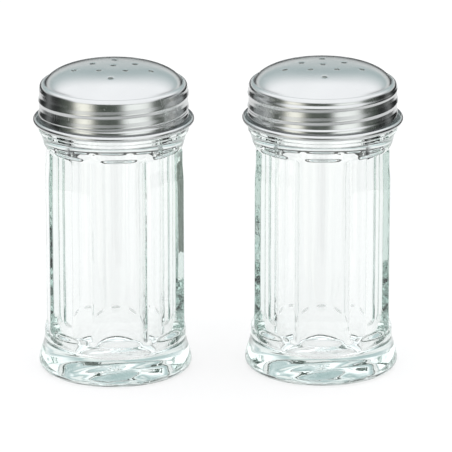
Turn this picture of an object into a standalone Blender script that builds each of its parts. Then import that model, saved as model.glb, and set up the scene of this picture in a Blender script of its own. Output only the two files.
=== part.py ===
"""A pair of panelled glass shakers with screw-on steel caps, in metres, +Z up, standing on z = 0.

Each shaker is a pressed glass jar and a steel cap. The jar has a flared round foot, eight flat panels,
a shoulder bead and a neck with a right-hand thread ridge. The cap is one thin pressing: a dome with
eleven holes, a shoulder, a skirt with a rolled thread, and a hem curled outward. The hem is a solid of
its own, because the cap screws off: the hem carries the rise of the screw and the cap carries its turn.
"""

import math

import bmesh
import bpy
from mathutils import Matrix, Vector

# Pair layout. The shakers stand side by side along X, and the holes' stars point about along -Y.
AXIS_SPACING = 0.067
JAR_TURN = {"left": math.radians(4.4), "right": math.radians(-1.9)}
STAR_TURN = {"left": math.radians(-3.5), "right": 0.0}
SEGMENTS = 32

# Thread, shared by the neck's ridge and the cap's rolled skirt: six turns to the inch, right-hand.
PITCH = 0.0254 / 6
CREST_HEIGHT = {"left": 0.0897, "right": 0.0873}
CREST_ANGLE = math.pi

# Jar: panels, between a level ledge on the foot and one under the shoulder
PANELS = 8
PANEL_APOTHEM = 0.0218
TOP_APOTHEM = 0.02145
TAPER_SPAN = (0.0640, 0.0713)
ARRIS_RADIUS = 0.0010

# Jar: foot. The flare runs up to the round body, and a ledge leads in to the flats.
BEARING_RADIUS = (0.0190, 0.0226)
PUSH_UP = 0.0006
PUSH_UP_MIDDLE = 0.0018
PUSH_UP_SHARES = (0.1, 0.55, 1.0)
HEEL_HEIGHT = 0.0026
FOOT_RADIUS = 0.02485
ROUND_RADIUS = 0.02293
FLARE_SPAN = (0.0022, 0.0110)
FOOT_LEDGE_SPAN = (0.0132, 0.0152)
CORE_RADIUS = 0.0212

# Jar: shoulder, bead and neck
SHOULDER_LEDGE_SPAN = (0.0742, 0.0759)
SHOULDER_RADIUS = 0.0225
BEAD_RADIUS = 0.0241
BEAD_SPAN = (0.0800, 0.0817)
BEAD_ROUND = 0.0005
NECK_RADIUS = 0.0219
NECK_FILLET = 0.0010
RIM_HEIGHT = 0.0947
RIM_ROUND = 0.0008
RIDGE_HEIGHT = 0.00155
RIDGE_HALF_WIDTH = 0.0016
RIDGE_SPAN = (0.0862, 0.0924)
RIDGE_RUN_OUT = 0.0006

# Jar: cavity, drafted so that the plunger pulls out of it
MOUTH_RADIUS = 0.0138
CAVITY_RADIUS = 0.0136
CAVITY_FLOOR = 0.0055
FLOOR_CORNER = 0.0030

# Cap
CAP_HEIGHT = 0.1009
SHEET = 0.0005
DOME_RADIUS = 0.0221
DOME_BOTTOM = 0.0945
DOME_REACH = 0.0224
DOME_POWER = 3.2
DOME_FULLNESS = 0.6
DOME_SHARES = (0.08, 0.32, 0.55, 0.74, 0.87, 0.95, 1.0)
LEDGE_HEIGHT = 0.0955
SHOULDER_ROUND = (0.0013, 0.0016)
SKIRT_RADIUS = 0.0238
THREAD_DEPTH = 0.00034
THREAD_RISE = 0.0017
THREAD_FALL = 0.0012
THREAD_EASE = 0.2
TOP_LEVEL = -0.25
THREAD_FADE_TOP = (0.0926, 0.0941)
THREAD_FADE_BOTTOM = (0.0849, 0.0860)
SKIRT_BOTTOM = 0.08455
ROWS_PER_PITCH = 5

# Cap holes: a centre hole and a five-pointed star
HOLE_RADIUS = 0.0009
STAR_POINTS = 5
STAR_RADII = (0.0129, 0.00716)
HOLE_SIDES = 12
HOLE_CUTTER_LENGTH = 0.008

# Hem: its outer radius, the height of its middle, the radius of its rolled edge, and its inner wall
HEM_RADIUS = 0.02585
HEM_HEIGHT = 0.0833
HEM_ROLL = 0.00093
HEM_INNER_RADIUS = 0.0239
HEM_ROLL_STEPS = 4

# Finish: colour, roughness, metallic and transmission
GLASS = ((0.90, 0.95, 0.93), 0.03, 0.0, 1.0)
CAP_STEEL = ((0.66, 0.67, 0.67), 0.16, 1.0, 0.0)
HEM_STEEL = ((0.62, 0.63, 0.63), 0.20, 1.0, 0.0)
SHARP_EDGE = math.radians(30.0)
AXIS_MARK_SIZE = 0.02


def clear_scene():
    for obj in list(bpy.data.objects):
        bpy.data.objects.remove(obj)


def smooth_step(value, low, high):
    """0 below low, 1 above high, and a smooth rise between."""
    t = min(max((value - low) / (high - low), 0.0), 1.0)
    return t * t * (3.0 - 2.0 * t)


def steps(low, high, count):
    """count + 1 evenly spaced values from low to high."""
    return [low + (high - low) * i / count for i in range(count + 1)]


def arc(centre, radii, start, end, count):
    """Points (r, z) of an elliptical arc, from the start angle to the end angle in degrees."""
    angles = [math.radians(a) for a in steps(start, end, count)]
    return [(centre[0] + radii[0] * math.cos(a), centre[1] + radii[1] * math.sin(a)) for a in angles]


def turned_mesh(name, rows, radius_at, first_pole=True, last_pole=True):
    """A mesh around Z from rows (r, z). radius_at(r, z, angle) may move a point in or out."""
    mesh = bpy.data.meshes.new(name)
    bm = bmesh.new()
    rings = []
    for r, z in rows:
        ring = []
        for i in range(SEGMENTS):
            angle = 2.0 * math.pi * i / SEGMENTS
            radius = radius_at(r, z, angle)
            ring.append(bm.verts.new((radius * math.cos(angle), radius * math.sin(angle), z)))
        rings.append(ring)
    for lower, upper in zip(rings, rings[1:]):
        for i in range(SEGMENTS):
            j = (i + 1) % SEGMENTS
            bm.faces.new((lower[i], lower[j], upper[j], upper[i]))
    if first_pole:
        bm.faces.new(reversed(rings[0]))
    if last_pole:
        bm.faces.new(rings[-1])
    bm.to_mesh(mesh)
    bm.free()
    return mesh


def panel_radius(angle):
    """Distance from the axis to the outline of the panels, with its arrises rounded."""
    half = math.pi / PANELS
    offset = (angle + half) % (2.0 * half) - half
    corner_distance = (PANEL_APOTHEM - ARRIS_RADIUS) / math.cos(half)
    flat_end = math.atan2((PANEL_APOTHEM - ARRIS_RADIUS) * math.tan(half), PANEL_APOTHEM)
    if abs(offset) < flat_end:
        return PANEL_APOTHEM / math.cos(offset)
    lean = half - abs(offset)
    across = corner_distance * math.sin(lean)
    return corner_distance * math.cos(lean) + math.sqrt(ARRIS_RADIUS**2 - across**2)


def nearest_crest(angle, z, side):
    """The height of the thread's crest that passes nearest to z at this angle."""
    base = CREST_HEIGHT[side] + PITCH * (angle - CREST_ANGLE) / (2.0 * math.pi)
    return base + PITCH * round((z - base) / PITCH)


def ridge(angle, z, side):
    """How far the neck's thread ridge stands out at a point."""
    crest = nearest_crest(angle, z, side)
    distance = abs(z - crest)
    if distance >= RIDGE_HALF_WIDTH:
        return 0.0
    low, high = RIDGE_SPAN
    run_in = smooth_step(crest, low - RIDGE_RUN_OUT, low)
    run_out = 1.0 - smooth_step(crest, high, high + RIDGE_RUN_OUT)
    bump = math.cos(0.5 * math.pi * distance / RIDGE_HALF_WIDTH) ** 2
    return RIDGE_HEIGHT * bump * run_in * run_out


def blend(first, last, share):
    return first + (last - first) * share


def round_radius(z):
    """The round body's radius: the flare of the foot below the flats, and the shoulder above them."""
    if z < FOOT_LEDGE_SPAN[1]:
        return blend(FOOT_RADIUS, ROUND_RADIUS, smooth_step(z, *FLARE_SPAN))
    share = (z - SHOULDER_LEDGE_SPAN[0]) / (BEAD_SPAN[0] - SHOULDER_LEDGE_SPAN[0])
    return blend(SHOULDER_RADIUS, BEAD_RADIUS, max(share, 0.0) ** 2)


def body_radius(z, angle):
    """The jar's outline below its neck: round at the foot and the shoulder, and flat-sided between."""
    flat = smooth_step(z, *FOOT_LEDGE_SPAN) * (1.0 - smooth_step(z, *SHOULDER_LEDGE_SPAN))
    taper = blend(PANEL_APOTHEM, TOP_APOTHEM, smooth_step(z, *TAPER_SPAN)) / PANEL_APOTHEM
    return blend(round_radius(z), taper * panel_radius(angle), flat)


def body_rows():
    """The bearing ring and the heel, then the foot, the panels and the shoulder up to the bead."""
    punt = BEARING_RADIUS[0] - PUSH_UP
    rows = [(punt * share, blend(PUSH_UP_MIDDLE, PUSH_UP, share**2)) for share in PUSH_UP_SHARES]
    rows.append((BEARING_RADIUS[0], 0.0))
    heel = (FOOT_RADIUS - BEARING_RADIUS[1], HEEL_HEIGHT)
    rows += arc((BEARING_RADIUS[1], HEEL_HEIGHT), heel, -90.0, 0.0, 4)
    heights = steps(HEEL_HEIGHT, FLARE_SPAN[1], 6)[1:] + steps(*FOOT_LEDGE_SPAN, 4)
    heights += list(TAPER_SPAN) + steps(*SHOULDER_LEDGE_SPAN, 4)
    heights += steps(SHOULDER_LEDGE_SPAN[1], BEAD_SPAN[0], 4)[1:]
    return rows + [(round_radius(z), z) for z in heights]


def neck_rows():
    """The bead, the neck with rows close enough for its ridge, the rim, and the cavity down to its floor."""
    bead_top = BEAD_SPAN[1] + BEAD_ROUND
    rows = arc((BEAD_RADIUS - BEAD_ROUND, BEAD_SPAN[1]), (BEAD_ROUND, BEAD_ROUND), 0.0, 90.0, 2)
    fillet_centre = (NECK_RADIUS + NECK_FILLET, bead_top + NECK_FILLET)
    rows += arc(fillet_centre, (NECK_FILLET, NECK_FILLET), 270.0, 180.0, 3)
    bottom, top = bead_top + NECK_FILLET, RIM_HEIGHT - RIM_ROUND
    count = round((top - bottom) / PITCH * ROWS_PER_PITCH)
    rows += [(NECK_RADIUS, z) for z in steps(bottom, top, count)[1:]]
    rows += arc((NECK_RADIUS - RIM_ROUND, top), (RIM_ROUND, RIM_ROUND), 0.0, 90.0, 2)[1:]
    rows += arc((MOUTH_RADIUS + RIM_ROUND, top), (RIM_ROUND, RIM_ROUND), 90.0, 180.0, 2)
    corner = (CAVITY_RADIUS - FLOOR_CORNER, CAVITY_FLOOR + FLOOR_CORNER)
    rows += arc(corner, (FLOOR_CORNER, FLOOR_CORNER), 0.0, -90.0, 4)
    return rows


def make_jar(side, material):
    def radius_at(r, z, angle):
        if r < CORE_RADIUS or z < HEEL_HEIGHT:
            return r
        if z < BEAD_SPAN[1]:
            return body_radius(z, angle)
        return r + ridge(angle + JAR_TURN[side], z, side)

    rows = body_rows() + neck_rows()
    mesh = turned_mesh(f"{side}_jar", rows, radius_at)
    jar = add_object(f"{side}_jar", mesh, side, material)
    jar.rotation_euler.z = JAR_TURN[side]
    return jar


def eased(share):
    """0 to 1 at an even slope, with rounded ends."""
    if share < THREAD_EASE:
        return share**2 / (2.0 * THREAD_EASE * (1.0 - THREAD_EASE))
    if share > 1.0 - THREAD_EASE:
        return 1.0 - eased(1.0 - min(share, 1.0))
    return (share - 0.5 * THREAD_EASE) / (1.0 - THREAD_EASE)


def skirt_radius(angle, z, side):
    """The outside of the cap's skirt: thread bulges between flat grooves, with a plain top and foot."""
    above = z - nearest_crest(angle, z, side)
    level = 1.0 - eased(above / THREAD_RISE if above > 0.0 else -above / THREAD_FALL)
    level = blend(level, TOP_LEVEL, smooth_step(z, *THREAD_FADE_TOP))
    level = blend(1.0, level, smooth_step(z, *THREAD_FADE_BOTTOM))
    return SKIRT_RADIUS + THREAD_DEPTH * level


def dome_height(r):
    """The height of the dome's outside at a distance from the axis."""
    fullness = (1.0 - (r / DOME_REACH) ** DOME_POWER) ** DOME_FULLNESS
    return DOME_BOTTOM + (CAP_HEIGHT - DOME_BOTTOM) * fullness


def dome_rows():
    """The outside of the dome and the shoulder, from near the apex down to the top of the skirt."""
    rows = [(DOME_RADIUS * share, dome_height(DOME_RADIUS * share)) for share in DOME_SHARES]
    rows[0] = (rows[0][0], CAP_HEIGHT)
    outside = SKIRT_RADIUS + THREAD_DEPTH * TOP_LEVEL
    centre = (outside - SHOULDER_ROUND[0], LEDGE_HEIGHT - SHOULDER_ROUND[1])
    return rows + arc(centre, SHOULDER_ROUND, 90.0, 0.0, 3)


def hole_places(side):
    """The centre hole and the star's ten, as (x, y) from the cap's axis."""
    places = [(0.0, 0.0)]
    for i in range(2 * STAR_POINTS):
        angle = STAR_TURN[side] - 0.5 * math.pi + math.pi * i / STAR_POINTS
        radius = STAR_RADII[i % 2]
        places.append((radius * math.cos(angle), radius * math.sin(angle)))
    return places


def make_hole_cutter(side):
    mesh = bpy.data.meshes.new(f"{side}_hole_cutter")
    bm = bmesh.new()
    for x, y in hole_places(side):
        bmesh.ops.create_cone(
            bm,
            cap_ends=True,
            segments=HOLE_SIDES,
            radius1=HOLE_RADIUS,
            radius2=HOLE_RADIUS,
            depth=HOLE_CUTTER_LENGTH,
            matrix=Matrix.Translation((x, y, CAP_HEIGHT)),
        )
    bm.to_mesh(mesh)
    bm.free()
    cutter = add_object(f"{side}_hole_cutter", mesh, side, None)
    cutter.hide_render = True
    cutter.display_type = "WIRE"
    return cutter


def make_cap(side, material):
    count = round((THREAD_FADE_TOP[1] - SKIRT_BOTTOM) / PITCH * ROWS_PER_PITCH)
    rows = dome_rows() + [(SKIRT_RADIUS, z) for z in steps(THREAD_FADE_TOP[1], SKIRT_BOTTOM, count)[1:]]

    def radius_at(r, z, angle):
        return skirt_radius(angle, z, side) if z < THREAD_FADE_TOP[1] and r == SKIRT_RADIUS else r

    mesh = turned_mesh(f"{side}_cap", rows[::-1], radius_at, first_pole=False)
    cap = add_object(f"{side}_cap", mesh, side, material)
    sheet = cap.modifiers.new("Sheet", "SOLIDIFY")
    sheet.thickness = SHEET
    sheet.offset = -1.0
    sheet.use_even_offset = True
    holes = cap.modifiers.new("Holes", "BOOLEAN")
    holes.operation = "DIFFERENCE"
    holes.object = make_hole_cutter(side)
    return cap


def make_hem(side, material):
    centre = (HEM_RADIUS - HEM_ROLL, HEM_HEIGHT)
    section = arc(centre, (HEM_ROLL, HEM_ROLL), 90.0, -90.0, HEM_ROLL_STEPS)
    section += [(HEM_INNER_RADIUS, HEM_HEIGHT - 0.5 * HEM_ROLL), (HEM_INNER_RADIUS, HEM_HEIGHT + HEM_ROLL)]
    mesh = bpy.data.meshes.new(f"{side}_cap_hem")
    bm = bmesh.new()
    verts = [bm.verts.new((r, 0.0, z)) for r, z in section]
    edges = [bm.edges.new((a, b)) for a, b in zip(verts, verts[1:] + verts[:1])]
    bmesh.ops.spin(
        bm,
        geom=verts + edges,
        cent=Vector((0.0, 0.0, 0.0)),
        axis=Vector((0.0, 0.0, 1.0)),
        angle=2.0 * math.pi,
        steps=SEGMENTS,
        use_merge=True,
    )
    bmesh.ops.recalc_face_normals(bm, faces=bm.faces)
    bm.to_mesh(mesh)
    bm.free()
    return add_object(f"{side}_cap_hem", mesh, side, material)


def add_object(name, mesh, side, material):
    """An object on its shaker's axis, with its round faces shaded smooth."""
    obj = bpy.data.objects.new(name, mesh)
    bpy.context.scene.collection.objects.link(obj)
    obj.parent = bpy.data.objects[f"{side}_axis"]
    if material:
        mesh.materials.append(material)
        mesh.shade_smooth()
        mesh.set_sharp_from_angle(angle=SHARP_EDGE)
    return obj


def add_axis(side, x):
    """An empty on a shaker's axis, which is also its cap's screw axis."""
    axis = bpy.data.objects.new(f"{side}_axis", None)
    axis.location = (x, 0.0, 0.0)
    axis.empty_display_size = AXIS_MARK_SIZE
    bpy.context.scene.collection.objects.link(axis)


def make_material(name, colour, roughness, metallic, transmission):
    material = bpy.data.materials.new(name)
    material.use_nodes = True
    shader = material.node_tree.nodes["Principled BSDF"]
    shader.inputs["Base Color"].default_value = (*colour, 1.0)
    shader.inputs["Roughness"].default_value = roughness
    shader.inputs["Metallic"].default_value = metallic
    shader.inputs["Transmission Weight"].default_value = transmission
    return material


def main():
    clear_scene()
    for side, x in (("left", -0.5 * AXIS_SPACING), ("right", 0.5 * AXIS_SPACING)):
        add_axis(side, x)
        make_jar(side, make_material(f"{side}_glass", *GLASS))
        make_cap(side, make_material(f"{side}_cap_steel", *CAP_STEEL))
        make_hem(side, make_material(f"{side}_hem_steel", *HEM_STEEL))


main()
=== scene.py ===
"""The looks of a pair of panelled glass shakers with perforated steel caps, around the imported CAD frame.

Units are metres, +Z is up, and each shaker stands on z = 0 on its own axis. The sizes below repeat the
CAD's, and the meshes here are finer: rounded arrises and ledges, a stippled bearing ring, a rippled
cavity, punched holes with rolled-in rims, and a hem curled from the sheet. Everything rides on the CAD
bodies, so the caps screw off and the right shaker lifts.
"""

import math

import bmesh
import bpy
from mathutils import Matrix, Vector
from mathutils.geometry import delaunay_2d_cdt


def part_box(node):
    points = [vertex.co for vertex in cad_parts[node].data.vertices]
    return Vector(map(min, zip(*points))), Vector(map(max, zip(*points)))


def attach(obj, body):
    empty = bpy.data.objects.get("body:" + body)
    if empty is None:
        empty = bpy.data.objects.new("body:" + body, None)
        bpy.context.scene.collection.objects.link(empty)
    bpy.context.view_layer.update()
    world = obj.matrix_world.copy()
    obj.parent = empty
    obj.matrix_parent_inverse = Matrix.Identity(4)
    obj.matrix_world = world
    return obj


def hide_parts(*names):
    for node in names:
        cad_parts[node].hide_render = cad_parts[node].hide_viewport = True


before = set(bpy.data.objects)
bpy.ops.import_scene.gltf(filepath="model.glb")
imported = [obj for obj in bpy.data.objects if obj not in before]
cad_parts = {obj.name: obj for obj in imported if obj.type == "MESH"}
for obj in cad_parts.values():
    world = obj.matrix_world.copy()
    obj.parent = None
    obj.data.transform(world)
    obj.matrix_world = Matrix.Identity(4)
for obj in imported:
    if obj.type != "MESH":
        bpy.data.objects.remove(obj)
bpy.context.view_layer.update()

# Layout, from the frame: each shaker's axis is the middle of its jar
SIDES = ("left", "right")
JAR_TURN = {"left": math.radians(4.4), "right": math.radians(-1.9)}
STAR_TURN = {"left": math.radians(-3.5), "right": 0.0}

# Thread, shared by the neck's ridge and the cap's rolled skirt
PITCH = 0.0254 / 6
CREST_HEIGHT = {"left": 0.0897, "right": 0.0873}
CREST_ANGLE = math.pi

# Jar: flats
PANELS = 8
PANEL_APOTHEM = 0.0218
TOP_APOTHEM = 0.02145
TAPER_SPAN = (0.0640, 0.0713)
ARRIS_RADIUS = 0.0010

# Jar: round body
PUSH_UP_RADIUS = 0.0184
BEARING_RADIUS = (0.0190, 0.0226)
PUSH_UP = 0.0006
PUSH_UP_MIDDLE = 0.0018
PUSH_UP_UNEVEN = 0.00012
HEEL_HEIGHT = 0.0026
FOOT_RADIUS = 0.02485
ROUND_RADIUS = 0.02293
FLARE_SPAN = (0.0022, 0.0110)
FOOT_LEDGE_SPAN = (0.0132, 0.0152)
CORE_RADIUS = 0.0212
SHOULDER_LEDGE_SPAN = (0.0742, 0.0759)
SHOULDER_RADIUS = 0.0225
BEAD_RADIUS = 0.0241
BEAD_SPAN = (0.0800, 0.0817)
BEAD_ROUND = 0.0005
PARTING_HEIGHT = 0.0809
PARTING_DEPTH = 0.00009
PARTING_WIDTH = 0.00013
NECK_RADIUS = 0.0219
NECK_FILLET = 0.0010
RIM_HEIGHT = 0.0947
RIM_ROUND = 0.0008
RIDGE_HEIGHT = 0.00155
RIDGE_HALF_WIDTH = 0.0016
RIDGE_SPAN = (0.0862, 0.0924)
RIDGE_RUN_OUT = 0.0006

# Jar: cavity. Pressed glass is a little uneven.
MOUTH_RADIUS = 0.0138
CAVITY_RADIUS = 0.0136
CAVITY_FLOOR = 0.0055
FLOOR_CORNER = 0.0030
RIPPLE = 0.00003
RIPPLE_FADE = 0.01
FLOOR_RIPPLE = 0.0001

# Jar: stipple of the bearing ring and the heel
STIPPLE_DEPTH = 0.00016
STIPPLE_COUNT = 104
STIPPLE_LENGTH = 0.0013

# Jar: mesh. The columns crowd together on the arrises.
FLAT_COLUMNS = 26
ARRIS_COLUMNS = 8
ARRIS_MARGIN = math.radians(0.35)
FINE_ROW = 0.0003
LONG_ROW = 0.0030
UNDERSIDE_ROW = 0.0008
POLE_RADIUS = 0.001
HEEL_STEPS = 14
BEAD_STEPS = 6
NECK_STEPS = 8
CORNER_STEPS = 16

# Cap
CAP_HEIGHT = 0.1009
SHEET = 0.0005
DOME_RADIUS = 0.0221
DOME_BOTTOM = 0.0945
DOME_REACH = 0.0224
DOME_POWER = 3.2
DOME_FULLNESS = 0.6
DISC_SHARE = 0.84
CREASE = 0.0002
LEDGE_HEIGHT = 0.0955
SHOULDER_ROUND = (0.0013, 0.0016)
SKIRT_RADIUS = 0.0238
THREAD_DEPTH = 0.00034
THREAD_RISE = 0.0017
THREAD_FALL = 0.0012
THREAD_EASE = 0.2
TOP_LEVEL = -0.25
THREAD_FADE_TOP = (0.0926, 0.0941)
THREAD_FADE_BOTTOM = (0.0849, 0.0860)
SKIRT_BOTTOM = 0.0837
CREASE_TURN = (0.5, 0.35)
CAP_COLUMNS = 240
CAP_ROW = 0.00018
SHOULDER_STEPS = 14
DOME_STEPS = 16
SHEET_WELD = 0.000002

# Cap holes, each with a rim rolled in by the punch
HOLE_RADIUS = 0.0009
STAR_POINTS = 5
STAR_RADII = (0.0129, 0.00716)
HOLE_SIDES = 28
RIM_ROLL_DEPTH = 0.00006
RIM_ROLL_WIDTH = 0.0003
RIM_RINGS = (1.0, 1.12, 1.28, 1.5, 1.8)
HOLE_MARGIN = 0.98
DISC_SPACING = 0.0006

# Hem: the sheet curls outward and up
HEM_RADIUS = 0.02585
HEM_HEIGHT = 0.0833
HEM_ROLL = 0.00093
HEM_CURL = 250.0
HEM_COLUMNS = 240
HEM_STEPS = (40, 24)
HEM_PLAY = 0.00002
HEM_WELD = 0.000001

SHARP_ANGLE = math.radians(40.0)

# Steel: the colour of the cap and of its hem, and the share that it keeps in its darker clouds
CAP_STEEL = ((0.57, 0.58, 0.58), 0.95)
HEM_STEEL = ((0.56, 0.57, 0.57), 0.94)

# Steel: its marks. A noise is its scale, detail and roughness, and a span is the part of it that shows.
TURNED_LINES = 9000.0
LINE_NOISE = (1.0, 3.0, 0.6)
LINE_SPAN = (0.3, 0.7)
LINE_ROUGHNESS = 0.015
SMUDGE_NOISE = (90.0, 4.0, 0.65)
SMUDGE_SPAN = (0.35, 0.70)
SMUDGE_ROUGHNESS = (0.20, 0.26)
CLOUD_NOISE = (35.0, 2.0)
CLOUD_SPAN = (0.35, 0.65)
SCRATCH_STRETCH = 14.0
SCRATCH_NOISE = (240.0, 2.0)
SCRATCH_SPAN = (0.66, 0.72)
SCRATCH_ROUGHNESS = 0.05
STEEL_RELIEF = 0.000006

# Glass
GLASS_IOR = 1.52
GLASS_TINT = (0.79, 0.86, 0.835, 1.0)
GLASS_DENSITY = 19.0
GLASS_NOISE = (260.0, 1.0)
GLASS_RELIEF = 0.00001

# View
AIM = Vector((0.0025, 0.0, 0.0469))
CAMERA_DISTANCE = 1.40
CAMERA_AZIMUTH = math.radians(-1.2)
CAMERA_PITCH = math.radians(17.3)
LENS = 345.0
SENSOR = 36.0
CLIP_START = 0.01
GLASS_BOUNCES = 16

# Light: a lit table under the object, a long softbox over it, and a room with two lit strips in front.
# Elevations and azimuths are in degrees; azimuth 0 is the front, -Y. Each pair is the two ends of a fade
# or of a band. The softbox's pairs are angles over the object from the back, and the halves are shares of Y.
TABLE = ((-0.26, -0.085), (0.26, 0.75))
TABLE_GLOW = 0.76
TABLE_GREY = 0.22
SOFTBOX = (1.56, 1.57, 1.60, 1.0)
SOFTBOX_BACK = (14.0, 62.0)
SOFTBOX_FRONT = (158.0, 170.0)
SOFTBOX_SIDE = (0.78, 0.98)
SOFTBOX_HORIZON = (0.0, 0.15)
BACK_HALF = (0.25, 0.65)
FRONT_HALF = (-0.15, 0.10)
WALL = (0.46, 0.59, 0.60, 1.0)
WALL_FOOT = (1.0, 1.02, 1.02, 1.0)
WALL_FOOT_FADE = (13.5, 18.0)
ROOM = (0.075, 0.095, 0.075, 1.0)
DARK = (0.012, 0.014, 0.014, 1.0)
NEAR_FLOOR = (0.60, 0.62, 0.62, 1.0)
NEAR_FLOOR_FADE = (-29.0, -19.0)
HORIZON_BAND = (-20.0, 4.0)
HORIZON_SOFTNESS = 4.0
STRIP_FADE = (-6.0, 16.0)
STRIP_TOP = (28.0, 44.0)
STRIP_UPPER_LEVEL = 0.38
STRIPS = ((-52.0, -42.0, (1.75, 1.72, 1.55, 1.0)), (24.0, 50.0, (1.62, 1.66, 1.62, 1.0)))
STRIP_SOFTNESS = 18.0
WHITE = (1.0, 1.0, 1.0, 1.0)


def steps(low, high, count):
    """count + 1 evenly spaced values from low to high."""
    return [low + (high - low) * i / count for i in range(count + 1)]


def spaced(low, high, spacing):
    """Evenly spaced values from low to high, about that far apart."""
    return steps(low, high, max(1, round(abs(high - low) / spacing)))


def arc(centre, radii, start, end, count):
    """Points (r, z) of an elliptical arc, from the start angle to the end angle in degrees."""
    angles = [math.radians(a) for a in steps(start, end, count)]
    return [(centre[0] + radii[0] * math.cos(a), centre[1] + radii[1] * math.sin(a)) for a in angles]


def smooth_step(value, low, high):
    """0 below low, 1 above high, and a smooth rise between."""
    t = min(max((value - low) / (high - low), 0.0), 1.0)
    return t * t * (3.0 - 2.0 * t)


def mix(first, last, share):
    return first + (last - first) * share


def turned_shape(rows, angles, place, first_pole=None, last_pole=None):
    """Points and faces of a surface around Z from rows (r, z). place(r, z, angle) gives a point's own
    radius and height. A pole height closes that end with a fan."""
    columns = len(angles)
    points = []
    for r, z in rows:
        for angle in angles:
            radius, height = place(r, z, angle)
            points.append((radius * math.cos(angle), radius * math.sin(angle), height))
    faces = []
    for row in range(len(rows) - 1):
        for i in range(columns):
            j = (i + 1) % columns
            a, b = row * columns, (row + 1) * columns
            faces.append((a + i, a + j, b + j, b + i))
    if first_pole is not None:
        points.append((0.0, 0.0, first_pole))
        faces += [((i + 1) % columns, i, len(points) - 1) for i in range(columns)]
    if last_pole is not None:
        points.append((0.0, 0.0, last_pole))
        last = (len(rows) - 1) * columns
        faces += [(last + i, last + (i + 1) % columns, len(points) - 1) for i in range(columns)]
    return points, faces


def even_angles(count):
    return [2.0 * math.pi * i / count for i in range(count)]


def smooth_mesh(name, points, faces):
    mesh = bpy.data.meshes.new(name)
    mesh.from_pydata(points, [], faces)
    mesh.shade_smooth()
    return mesh


def weld(mesh, distance):
    """Joins the mesh's meeting points and turns its faces outward."""
    bm = bmesh.new()
    bm.from_mesh(mesh)
    bmesh.ops.remove_doubles(bm, verts=bm.verts, dist=distance)
    bmesh.ops.recalc_face_normals(bm, faces=bm.faces)
    bm.to_mesh(mesh)
    bm.free()


def add_piece(name, mesh, side, material, body, node):
    """A piece on its shaker's axis, which rides on a CAD body and stands for a CAD node."""
    low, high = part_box(f"{side}_jar")
    piece = bpy.data.objects.new(name, mesh)
    bpy.context.scene.collection.objects.link(piece)
    piece.location.x = 0.5 * (low.x + high.x)
    mesh.materials.append(material)
    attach(piece, body)
    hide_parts(node)
    return piece


# ---- Jar ----


def flat_end():
    """The angle from a panel's middle to where its arris starts to round."""
    return math.atan2((PANEL_APOTHEM - ARRIS_RADIUS) * math.tan(math.pi / PANELS), PANEL_APOTHEM)


def panel_radius(angle):
    """Distance from the axis to the outline of the panels, with its arrises rounded."""
    half = math.pi / PANELS
    offset = (angle + half) % (2.0 * half) - half
    if abs(offset) < flat_end():
        return PANEL_APOTHEM / math.cos(offset)
    corner_distance = (PANEL_APOTHEM - ARRIS_RADIUS) / math.cos(half)
    lean = half - abs(offset)
    across = corner_distance * math.sin(lean)
    return corner_distance * math.cos(lean) + math.sqrt(ARRIS_RADIUS**2 - across**2)


def jar_angles(side):
    """The columns' angles: even ones along each flat and close ones round each arris."""
    end = flat_end()
    offsets = steps(-end + ARRIS_MARGIN, end - ARRIS_MARGIN, FLAT_COLUMNS)
    offsets += steps(end, 2.0 * math.pi / PANELS - end, ARRIS_COLUMNS)
    starts = [JAR_TURN[side] + 2.0 * math.pi * panel / PANELS for panel in range(PANELS)]
    return [start + offset for start in starts for offset in offsets]


def nearest_crest(angle, z, side):
    """The height of the thread's crest that passes nearest to z at this angle."""
    base = CREST_HEIGHT[side] + PITCH * (angle - CREST_ANGLE) / (2.0 * math.pi)
    return base + PITCH * round((z - base) / PITCH)


def ridge(angle, z, side):
    """How far the neck's thread ridge stands out at a point."""
    crest = nearest_crest(angle, z, side)
    distance = abs(z - crest)
    if distance >= RIDGE_HALF_WIDTH:
        return 0.0
    low, high = RIDGE_SPAN
    run_in = smooth_step(crest, low - RIDGE_RUN_OUT, low)
    run_out = 1.0 - smooth_step(crest, high, high + RIDGE_RUN_OUT)
    bump = math.cos(0.5 * math.pi * distance / RIDGE_HALF_WIDTH) ** 2
    return RIDGE_HEIGHT * bump * run_in * run_out


def round_radius(z):
    """The round body's radius between the heel and the shoulder's bead."""
    if z < FOOT_LEDGE_SPAN[1]:
        return mix(FOOT_RADIUS, ROUND_RADIUS, smooth_step(z, *FLARE_SPAN))
    share = (z - SHOULDER_LEDGE_SPAN[0]) / (BEAD_SPAN[0] - SHOULDER_LEDGE_SPAN[0])
    return mix(SHOULDER_RADIUS, BEAD_RADIUS, min(max(share, 0.0), 1.0) ** 2)


def body_radius(z, panel_angle):
    """The jar's outline below its neck: round at the foot and the shoulder, and flat-sided between."""
    flat = smooth_step(z, *FOOT_LEDGE_SPAN) * (1.0 - smooth_step(z, *SHOULDER_LEDGE_SPAN))
    taper = mix(PANEL_APOTHEM, TOP_APOTHEM, smooth_step(z, *TAPER_SPAN)) / PANEL_APOTHEM
    parting = PARTING_DEPTH * math.exp(-(((z - PARTING_HEIGHT) / PARTING_WIDTH) ** 2))
    return mix(round_radius(z), taper * panel_radius(panel_angle), flat) - parting


def ripple(angle, z):
    """A slow unevenness of a few hundredths of a millimetre, from -1 to 1."""
    first = math.sin(3.0 * angle + 140.0 * z) * math.cos(310.0 * z - 2.0 * angle)
    return 0.6 * first + 0.4 * math.sin(7.0 * angle - 230.0 * z)


def cloud(angle, r):
    """The unevenness of the underside, from -1 to 1: a few waves that cross each other."""
    x, y = r * math.cos(angle), r * math.sin(angle)
    waves = math.sin(640.0 * x + 210.0 * y) + math.sin(330.0 * x - 610.0 * y) + math.sin(890.0 * y - 380.0 * x)
    return waves / 3.0


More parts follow.
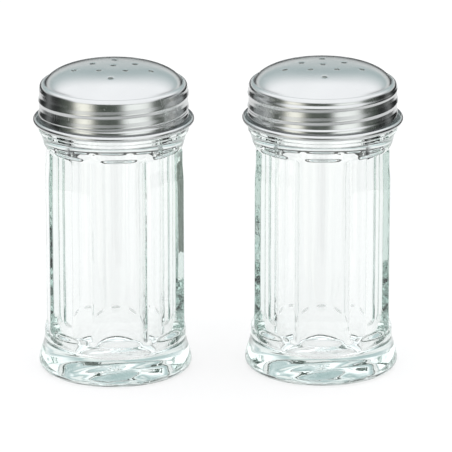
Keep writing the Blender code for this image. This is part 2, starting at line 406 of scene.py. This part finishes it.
def stipple(angle, along):
    """How deep the stipple is at a place along the jar's section: staggered rows of small dimples."""
    row = along / STIPPLE_LENGTH
    shift = math.pi * (math.floor(row) % 2)
    dimple = math.sin(math.pi * (row % 1.0)) * max(math.cos(STIPPLE_COUNT * angle + shift), 0.0)
    return STIPPLE_DEPTH * dimple


def push_up_height(r):
    return mix(PUSH_UP_MIDDLE, PUSH_UP, (r / PUSH_UP_RADIUS) ** 2)


def jar_rows():
    """The jar's outline (r, z) from the underside's middle, up the outside and down the cavity."""
    rows = [(r, push_up_height(r)) for r in spaced(POLE_RADIUS, PUSH_UP_RADIUS, UNDERSIDE_ROW)]
    rows += [(r, 0.0) for r in spaced(*BEARING_RADIUS, FINE_ROW)]
    heel = (FOOT_RADIUS - BEARING_RADIUS[1], HEEL_HEIGHT)
    rows += arc((BEARING_RADIUS[1], HEEL_HEIGHT), heel, -90.0, 0.0, HEEL_STEPS)[1:]
    flats = (FOOT_LEDGE_SPAN[1] + FINE_ROW, TAPER_SPAN[0])
    heights = spaced(HEEL_HEIGHT, flats[0], FINE_ROW)[1:]
    heights += spaced(*flats, LONG_ROW)[1:]
    heights += spaced(flats[1], BEAD_SPAN[0], FINE_ROW)[1:]
    heights += spaced(BEAD_SPAN[0], BEAD_SPAN[1], 0.5 * PARTING_WIDTH)[1:]
    rows += [(round_radius(z), z) for z in heights]
    top = BEAD_SPAN[1] + BEAD_ROUND
    rows += arc((BEAD_RADIUS - BEAD_ROUND, BEAD_SPAN[1]), (BEAD_ROUND, BEAD_ROUND), 0.0, 90.0, BEAD_STEPS)[1:]
    fillet_centre = (NECK_RADIUS + NECK_FILLET, top + NECK_FILLET)
    rows += arc(fillet_centre, (NECK_FILLET, NECK_FILLET), 270.0, 180.0, NECK_STEPS)
    rim = RIM_HEIGHT - RIM_ROUND
    rows += [(NECK_RADIUS, z) for z in spaced(top + NECK_FILLET, rim, FINE_ROW)[1:]]
    rows += arc((NECK_RADIUS - RIM_ROUND, rim), (RIM_ROUND, RIM_ROUND), 0.0, 90.0, NECK_STEPS)[1:]
    rows += arc((MOUTH_RADIUS + RIM_ROUND, rim), (RIM_ROUND, RIM_ROUND), 90.0, 180.0, NECK_STEPS)
    corner = (CAVITY_RADIUS - FLOOR_CORNER, CAVITY_FLOOR + FLOOR_CORNER)
    for z in spaced(rim, corner[1], 0.5 * LONG_ROW)[1:-1]:
        rows.append((mix(CAVITY_RADIUS, MOUTH_RADIUS, (z - corner[1]) / (rim - corner[1])), z))
    rows += arc(corner, (FLOOR_CORNER, FLOOR_CORNER), 0.0, -90.0, CORNER_STEPS)
    rows += [(r, CAVITY_FLOOR) for r in spaced(corner[0], POLE_RADIUS, POLE_RADIUS)[1:]]
    return rows


def place_on_jar(r, z, angle, side):
    """Where a point of the jar's outline lies at an angle: its radius and height. The parts in turn are
    the underside, the cavity, the bearing ring and heel, the body, and the bead, neck and rim."""
    if r <= PUSH_UP_RADIUS and z <= PUSH_UP_MIDDLE:
        return r, z + PUSH_UP_UNEVEN * cloud(angle, r) * (1.0 - (r / PUSH_UP_RADIUS) ** 4)
    if z > PUSH_UP and r < CORE_RADIUS:
        corner_top = CAVITY_FLOOR + FLOOR_CORNER
        uneven = ripple(angle, z) * smooth_step(RIM_HEIGHT - z, 0.0, RIPPLE_FADE)
        sag = ripple(angle, r) * FLOOR_RIPPLE if z <= corner_top else 0.0
        return r + RIPPLE * uneven, z + sag * (1.0 - smooth_step(z, CAVITY_FLOOR, corner_top))
    if z < HEEL_HEIGHT:
        along = r + z - BEARING_RADIUS[0]
        depth = stipple(angle, along) if along > 0.0 else 0.0
        return r - depth * (z > 0.0), z + depth * (z == 0.0)
    if z < BEAD_SPAN[1]:
        return body_radius(z, angle - JAR_TURN[side]), z
    return r + ridge(angle, z, side), z


def make_jar(side, material):
    def place(r, z, angle):
        return place_on_jar(r, z, angle, side)

    shape = turned_shape(jar_rows(), jar_angles(side), place, PUSH_UP_MIDDLE, CAVITY_FLOOR)
    mesh = smooth_mesh(f"{side}_jar_glass", *shape)
    return add_piece(f"{side}_jar_glass", mesh, side, material, f"{side}_jar", f"{side}_jar")


# ---- Cap ----


def eased(share):
    """0 to 1 at an even slope, with rounded ends."""
    if share < THREAD_EASE:
        return share**2 / (2.0 * THREAD_EASE * (1.0 - THREAD_EASE))
    if share > 1.0 - THREAD_EASE:
        return 1.0 - eased(1.0 - min(share, 1.0))
    return (share - 0.5 * THREAD_EASE) / (1.0 - THREAD_EASE)


def skirt_radius(angle, z, side):
    """The outside of the cap's skirt: thread bulges between flat grooves, with a plain top and foot."""
    above = z - nearest_crest(angle, z, side)
    level = 1.0 - eased(above / THREAD_RISE if above > 0.0 else -above / THREAD_FALL)
    level = mix(level, TOP_LEVEL, smooth_step(z, *THREAD_FADE_TOP))
    level = mix(1.0, level, smooth_step(z, *THREAD_FADE_BOTTOM))
    return SKIRT_RADIUS + THREAD_DEPTH * level


def dome_height(r):
    """The height of the dome's outside at a distance from the axis."""
    fullness = (1.0 - (r / DOME_REACH) ** DOME_POWER) ** DOME_FULLNESS
    return DOME_BOTTOM + (CAP_HEIGHT - DOME_BOTTOM) * fullness


def hole_places(side):
    """The centre hole and the star's ten, as (x, y) from the cap's axis."""
    places = [(0.0, 0.0)]
    for i in range(2 * STAR_POINTS):
        angle = STAR_TURN[side] - 0.5 * math.pi + math.pi * i / STAR_POINTS
        radius = STAR_RADII[i % 2]
        places.append((radius * math.cos(angle), radius * math.sin(angle)))
    return places


def ring_points(x, y, radius, count):
    return [(x + radius * math.cos(a), y + radius * math.sin(a)) for a in even_angles(count)]


def distance_to_hole(x, y, holes):
    return min(math.hypot(x - a, y - b) for a, b in holes)


def disc_pattern(holes):
    """Points of the dome's disc, seen from above, and the edges that go round its holes."""
    edge = DISC_SHARE * DOME_RADIUS
    flat = ring_points(0.0, 0.0, edge, CAP_COLUMNS)
    edges = []
    for x, y in holes:
        first = len(flat)
        edges += [(first + i, first + (i + 1) % HOLE_SIDES) for i in range(HOLE_SIDES)]
        for share in RIM_RINGS:
            flat += ring_points(x, y, HOLE_RADIUS * share, HOLE_SIDES)
    clear = HOLE_RADIUS * RIM_RINGS[-1] + 0.5 * DISC_SPACING
    for radius in spaced(DISC_SPACING, edge - DISC_SPACING, DISC_SPACING):
        count = round(2.0 * math.pi * radius / DISC_SPACING)
        flat += [p for p in ring_points(0.0, 0.0, radius, count) if distance_to_hole(*p, holes) > clear]
    return flat, edges


def dome_disc(side):
    """The middle of the dome as points and faces, with the holes left open and their rims rolled in."""
    holes = hole_places(side)
    flat, edges = disc_pattern(holes)
    found = delaunay_2d_cdt([Vector(p) for p in flat], edges, [], 0, 1e-7)
    points = []
    for x, y in found[0]:
        away = max(distance_to_hole(x, y, holes) - HOLE_RADIUS, 0.0)
        roll = RIM_ROLL_DEPTH * math.exp(-((away / RIM_ROLL_WIDTH) ** 2))
        points.append((x, y, dome_height(math.hypot(x, y)) - roll))
    faces = []
    for face in found[2]:
        middle = sum((found[0][v] for v in face), Vector((0.0, 0.0))) / len(face)
        if distance_to_hole(*middle, holes) > HOLE_MARGIN * HOLE_RADIUS:
            faces.append(tuple(face))
    return points, faces


def cap_rows():
    """The cap's outside (r, z) from the skirt's foot up to the edge of the dome's disc."""
    rows = [(SKIRT_RADIUS, z) for z in spaced(SKIRT_BOTTOM, THREAD_FADE_TOP[1], CAP_ROW)]
    outside = SKIRT_RADIUS + THREAD_DEPTH * TOP_LEVEL
    centre = (outside - SHOULDER_ROUND[0], LEDGE_HEIGHT - SHOULDER_ROUND[1])
    rows += arc(centre, SHOULDER_ROUND, 0.0, 90.0, SHOULDER_STEPS)[1:]
    crease = (DOME_RADIUS + CREASE, dome_height(DOME_RADIUS) - CREASE)
    rows += [tuple(mix(a, b, share) for a, b, share in zip(rows[-1], crease, CREASE_TURN)), crease]
    for step in steps(0.0, 1.0, DOME_STEPS)[1:]:
        r = DOME_RADIUS * mix(1.0, DISC_SHARE, step**2)
        rows.append((r, dome_height(r)))
    return rows


def make_cap(side, material):
    def place(r, z, angle):
        return skirt_radius(angle, z, side) if r == SKIRT_RADIUS else r, z

    points, faces = turned_shape(cap_rows(), even_angles(CAP_COLUMNS), place)
    disc_points, disc_faces = dome_disc(side)
    first = len(points)
    faces += [tuple(first + v for v in face) for face in disc_faces]
    mesh = thickened(smooth_mesh(f"{side}_cap_pressing", points + disc_points, faces))
    return add_piece(mesh.name, mesh, side, material, f"{side}_cap", f"{side}_cap")


def thickened(mesh):
    """The sheet metal under a surface, SHEET thick, with its crisp edges kept crisp."""
    weld(mesh, SHEET_WELD)
    name = mesh.name
    holder = bpy.data.objects.new("sheet_holder", mesh)
    bpy.context.scene.collection.objects.link(holder)
    sheet = holder.modifiers.new("Sheet", "SOLIDIFY")
    sheet.thickness = SHEET
    sheet.offset = -1.0
    sheet.use_even_offset = True
    depsgraph = bpy.context.evaluated_depsgraph_get()
    result = bpy.data.meshes.new_from_object(holder.evaluated_get(depsgraph))
    bpy.data.objects.remove(holder)
    bpy.data.meshes.remove(mesh)
    result.name = name
    result.shade_smooth()
    result.set_sharp_from_angle(angle=SHARP_ANGLE)
    return result


def hem_section():
    """The curled sheet's outline (r, z): down the inside, round the curl, and back along its hollow."""
    centre = (HEM_RADIUS - HEM_ROLL, HEM_HEIGHT)
    inner = HEM_ROLL - SHEET
    outside = SKIRT_RADIUS + THREAD_DEPTH - HEM_PLAY
    inside = outside - SHEET + 2.0 * HEM_PLAY
    top = SKIRT_BOTTOM + SHEET
    section = [(inside, top), (inside, HEM_HEIGHT + SHEET)]
    section += arc(centre, (HEM_ROLL, HEM_ROLL), 180.0, 180.0 + HEM_CURL, HEM_STEPS[0])
    section += arc(centre, (inner, inner), 180.0 + HEM_CURL, 180.0, HEM_STEPS[1])
    return section + [(outside, HEM_HEIGHT + SHEET), (outside, top)]


def make_hem(side, material):
    section = hem_section()
    shape = turned_shape(section + section[:1], even_angles(HEM_COLUMNS), lambda r, z, angle: (r, z))
    mesh = smooth_mesh(f"{side}_cap_curl", *shape)
    weld(mesh, HEM_WELD)
    mesh.set_sharp_from_angle(angle=SHARP_ANGLE)
    return add_piece(mesh.name, mesh, side, material, f"{side}_cap_rise", f"{side}_cap_hem")


# ---- Materials ----


class Graph:
    """Short calls for a node tree: each returns the output socket of the node that it makes."""

    def __init__(self, tree):
        self.tree = tree

    def put(self, socket, value):
        if isinstance(value, bpy.types.NodeSocket):
            self.tree.links.new(value, socket)
        else:
            socket.default_value = value

    def math(self, operation, first, second=0.0):
        node = self.tree.nodes.new("ShaderNodeMath")
        node.operation = operation
        self.put(node.inputs[0], first)
        self.put(node.inputs[1], second)
        return node.outputs["Value"]

    def scale(self, value, low, high, new_low=0.0, new_high=1.0, kind="SMOOTHSTEP"):
        """Takes low..high to new_low..new_high, and holds the ends beyond them."""
        node = self.tree.nodes.new("ShaderNodeMapRange")
        node.interpolation_type = kind
        for name, number in (("Value", value), ("From Min", low), ("From Max", high)):
            self.put(node.inputs[name], number)
        self.put(node.inputs["To Min"], new_low)
        self.put(node.inputs["To Max"], new_high)
        return node.outputs["Result"]

    def band(self, value, low, high, soft):
        """1 where value is between low and high, falling smoothly to 0 over that far outside."""
        rise = self.scale(value, low - soft, low)
        fall = self.scale(value, high, high + soft, 1.0, 0.0)
        return self.math("MULTIPLY", rise, fall)

    def mix(self, share, first, last):
        node = self.tree.nodes.new("ShaderNodeMix")
        node.data_type = "RGBA"
        self.put(node.inputs["Factor"], share)
        colours = [socket for socket in node.inputs if socket.type == "RGBA"]
        self.put(colours[0], first)
        self.put(colours[1], last)
        return [socket for socket in node.outputs if socket.type == "RGBA"][0]

    def split(self, vector):
        node = self.tree.nodes.new("ShaderNodeSeparateXYZ")
        self.put(node.inputs[0], vector)
        return node.outputs

    def join(self, x, y, z):
        node = self.tree.nodes.new("ShaderNodeCombineXYZ")
        for socket, value in zip(node.inputs, (x, y, z)):
            self.put(socket, value)
        return node.outputs[0]

    def noise(self, vector, scale, detail=2.0, roughness=0.5):
        node = self.tree.nodes.new("ShaderNodeTexNoise")
        for name, value in (("Vector", vector), ("Scale", scale), ("Detail", detail), ("Roughness", roughness)):
            self.put(node.inputs[name], value)
        return node.outputs["Fac"]

    def bump(self, height, distance, strength=1.0):
        node = self.tree.nodes.new("ShaderNodeBump")
        for name, value in (("Height", height), ("Distance", distance), ("Strength", strength)):
            self.put(node.inputs[name], value)
        return node.outputs["Normal"]


def new_material(name):
    material = bpy.data.materials.new(name)
    material.use_nodes = True
    return material, Graph(material.node_tree), material.node_tree.nodes["Principled BSDF"]


def glass_material():
    """Clear soda-lime glass, grey-green where it is thick, with a faint unevenness of its surface."""
    material, graph, shader = new_material("pressed_glass")
    shader.inputs["Base Color"].default_value = WHITE
    shader.inputs["Roughness"].default_value = 0.0
    shader.inputs["IOR"].default_value = GLASS_IOR
    shader.inputs["Transmission Weight"].default_value = 1.0
    place = graph.tree.nodes.new("ShaderNodeTexCoord").outputs["Object"]
    graph.put(shader.inputs["Normal"], graph.bump(graph.noise(place, *GLASS_NOISE), GLASS_RELIEF))
    absorption = graph.tree.nodes.new("ShaderNodeVolumeAbsorption")
    absorption.inputs["Color"].default_value = GLASS_TINT
    absorption.inputs["Density"].default_value = GLASS_DENSITY
    graph.put(graph.tree.nodes["Material Output"].inputs["Volume"], absorption.outputs["Volume"])
    return material


def steel_material(name, colour, shade):
    """Satin stainless sheet: fine turned lines round the axis, handling marks and a few small scratches."""
    material, graph, shader = new_material(name)
    place = graph.tree.nodes.new("ShaderNodeTexCoord").outputs["Object"]
    x, y, z = graph.split(place)
    radius = graph.math("SQRT", graph.math("ADD", graph.math("MULTIPLY", x, x), graph.math("MULTIPLY", y, y)))
    rings = [graph.math("MULTIPLY", length, TURNED_LINES) for length in (radius, z)]
    lines = graph.noise(graph.join(*rings, graph.math("ARCTAN2", y, x)), *LINE_NOISE)
    smudge = graph.noise(place, *SMUDGE_NOISE)
    cloud = graph.noise(place, *CLOUD_NOISE)
    stretched = graph.join(x, graph.math("MULTIPLY", y, SCRATCH_STRETCH), z)
    scratch = graph.scale(graph.noise(stretched, *SCRATCH_NOISE), *SCRATCH_SPAN)
    roughness = graph.scale(smudge, *SMUDGE_SPAN, *SMUDGE_ROUGHNESS)
    turning = graph.scale(lines, *LINE_SPAN, -LINE_ROUGHNESS, LINE_ROUGHNESS, "LINEAR")
    roughness = graph.math("ADD", roughness, turning)
    roughness = graph.math("ADD", roughness, graph.math("MULTIPLY", scratch, SCRATCH_ROUGHNESS))
    light, dark = (*colour, 1.0), (*(shade * c for c in colour), 1.0)
    graph.put(shader.inputs["Base Color"], graph.mix(graph.scale(cloud, *CLOUD_SPAN), light, dark))
    graph.put(shader.inputs["Roughness"], roughness)
    shader.inputs["Metallic"].default_value = 1.0
    relief = graph.math("ADD", graph.math("MULTIPLY", lines, 0.5), graph.math("MULTIPLY", scratch, -0.5))
    graph.put(shader.inputs["Normal"], graph.bump(relief, STEEL_RELIEF))
    return material


# ---- View and light ----


def add_camera():
    camera = bpy.data.objects.new("camera", bpy.data.cameras.new("camera"))
    bpy.context.scene.collection.objects.link(camera)
    camera.data.lens = LENS
    camera.data.sensor_width = SENSOR
    level = math.cos(CAMERA_PITCH)
    back = Vector((math.sin(CAMERA_AZIMUTH) * level, -math.cos(CAMERA_AZIMUTH) * level, math.sin(CAMERA_PITCH)))
    camera.location = AIM + CAMERA_DISTANCE * back
    camera.rotation_euler = (-back).to_track_quat("-Z", "Y").to_euler()
    camera.data.clip_start = CLIP_START
    camera.data.clip_end = 100.0
    bpy.context.scene.camera = camera


def add_floor():
    """The white table that both shakers stand on. It glows a little, as a light table does."""
    (left, front), (right, back) = TABLE
    corners = [(left, front, 0.0), (right, front, 0.0), (right, back, 0.0), (left, back, 0.0)]
    mesh = bpy.data.meshes.new("floor")
    mesh.from_pydata(corners, [], [(0, 1, 2, 3)])
    material, graph, shader = new_material("floor_white")
    shader.inputs["Base Color"].default_value = (TABLE_GREY, TABLE_GREY, TABLE_GREY, 1.0)
    shader.inputs["Roughness"].default_value = 1.0
    shader.inputs["Specular IOR Level"].default_value = 0.0
    shader.inputs["Emission Color"].default_value = WHITE
    shader.inputs["Emission Strength"].default_value = TABLE_GLOW
    mesh.materials.append(material)
    floor = bpy.data.objects.new("floor", mesh)
    bpy.context.scene.collection.objects.link(floor)


def room_colour(graph, y, lift, azimuth):
    """The dark room, with its grey-green back wall, the two lit strips and the paler floor in front."""
    behind = graph.scale(y, *BACK_HALF)
    facing = graph.scale(y, *FRONT_HALF, 1.0, 0.0)
    colour = graph.mix(facing, DARK, ROOM)
    wall = graph.mix(graph.scale(lift, *WALL_FOOT_FADE), WALL_FOOT, WALL)
    colour = graph.mix(behind, colour, wall)
    horizon = graph.band(lift, *HORIZON_BAND, HORIZON_SOFTNESS)
    colour = graph.mix(graph.math("MULTIPLY", horizon, behind), colour, DARK)
    level = graph.scale(lift, *STRIP_FADE, 1.0, STRIP_UPPER_LEVEL)
    level = graph.math("MULTIPLY", level, graph.scale(lift, *STRIP_TOP, 1.0, 0.0))
    for low, high, strip in STRIPS:
        beside = graph.band(azimuth, low, high, STRIP_SOFTNESS)
        colour = graph.mix(graph.math("MULTIPLY", beside, level), colour, strip)
    return graph.mix(graph.scale(lift, *NEAR_FLOOR_FADE, 1.0, 0.0), colour, NEAR_FLOOR)


def add_world():
    """The room and the softbox, by direction. The camera itself sees plain white beyond the table."""
    world = bpy.data.worlds.new("studio")
    bpy.context.scene.world = world
    world.use_nodes = True
    graph = Graph(world.node_tree)
    x, y, z = graph.split(graph.tree.nodes.new("ShaderNodeTexCoord").outputs["Generated"])
    degree = 180.0 / math.pi
    lift = graph.math("MULTIPLY", graph.math("ARCSINE", z), degree)
    arch = graph.math("MULTIPLY", graph.math("ARCTAN2", z, y), degree)
    azimuth = graph.math("MULTIPLY", graph.math("ARCTAN2", x, graph.math("MULTIPLY", y, -1.0)), degree)
    colour = room_colour(graph, y, lift, azimuth)
    front_edge = graph.scale(arch, *SOFTBOX_FRONT, 1.0, 0.0)
    overhead = graph.math("MULTIPLY", graph.scale(arch, *SOFTBOX_BACK), front_edge)
    width = graph.scale(graph.math("ABSOLUTE", x), *SOFTBOX_SIDE, 1.0, 0.0)
    share = graph.math("MULTIPLY", graph.math("MULTIPLY", overhead, width), graph.scale(z, *SOFTBOX_HORIZON))
    colour = graph.mix(share, colour, SOFTBOX)
    seen = graph.tree.nodes.new("ShaderNodeLightPath").outputs["Is Camera Ray"]
    colour = graph.mix(seen, colour, WHITE)
    graph.put(graph.tree.nodes["Background"].inputs["Color"], colour)


def main():
    scene = bpy.context.scene
    scene.view_settings.view_transform = "Standard"
    scene.cycles.max_bounces = GLASS_BOUNCES
    scene.cycles.glossy_bounces = GLASS_BOUNCES
    scene.cycles.transmission_bounces = GLASS_BOUNCES
    add_camera()
    add_floor()
    add_world()
    glass = glass_material()
    cap_steel = steel_material("cap_steel", *CAP_STEEL)
    hem_steel = steel_material("hem_steel", *HEM_STEEL)
    for side in SIDES:
        make_jar(side, glass)
        make_cap(side, cap_steel)
        make_hem(side, hem_steel)


main()
